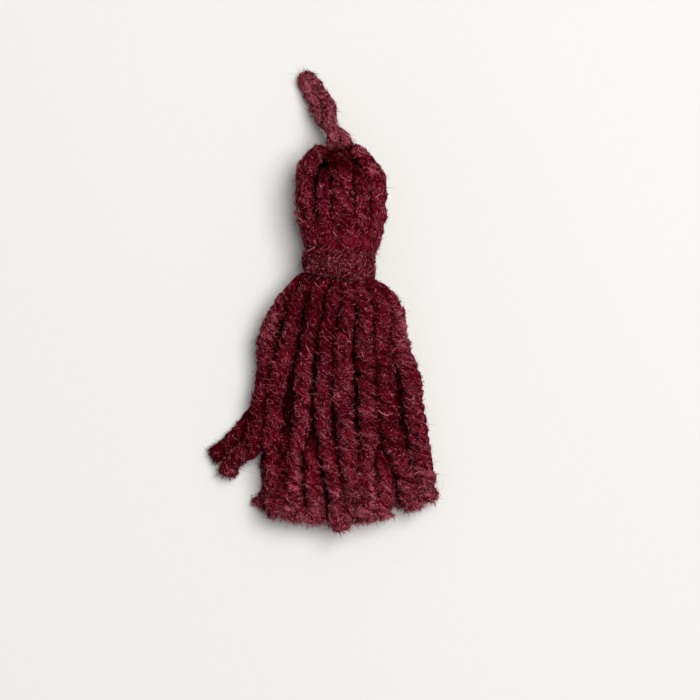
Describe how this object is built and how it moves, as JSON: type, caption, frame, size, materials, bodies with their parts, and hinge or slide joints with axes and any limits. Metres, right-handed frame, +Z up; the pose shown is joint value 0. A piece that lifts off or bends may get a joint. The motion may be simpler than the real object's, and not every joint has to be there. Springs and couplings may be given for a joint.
{
  "type": "wool yarn tassel",
  "caption": "Small hand-made tassel of thick twisted wool yarn, lying down: a doubled hanging loop, a ribbed round head, a bound neck and a full skirt of cut strands.",
  "frame": {"origin": "on the surface that the tassel lies on, under the middle of its bounding box", "axes": "+Y along the tassel towards its hanging loop, +Z up from the surface, +X to the right when it is seen from above with the loop away from the viewer"},
  "size_m": [0.0542, 0.1108, 0.0191],
  "materials": {
    "hank_wool": "matt, hairy two-ply wool yarn in burgundy",
    "binding_wool": "matt, hairy wool yarn in burgundy, felted where it is wound",
    "loop_wool": "matt, hairy wool yarn in burgundy"
  },
  "bodies": {
    "root": {"yarn_bundle": "hank_wool", "neck_binding": "binding_wool", "hanging_loop": "loop_wool"}
  },
  "joints": []
}
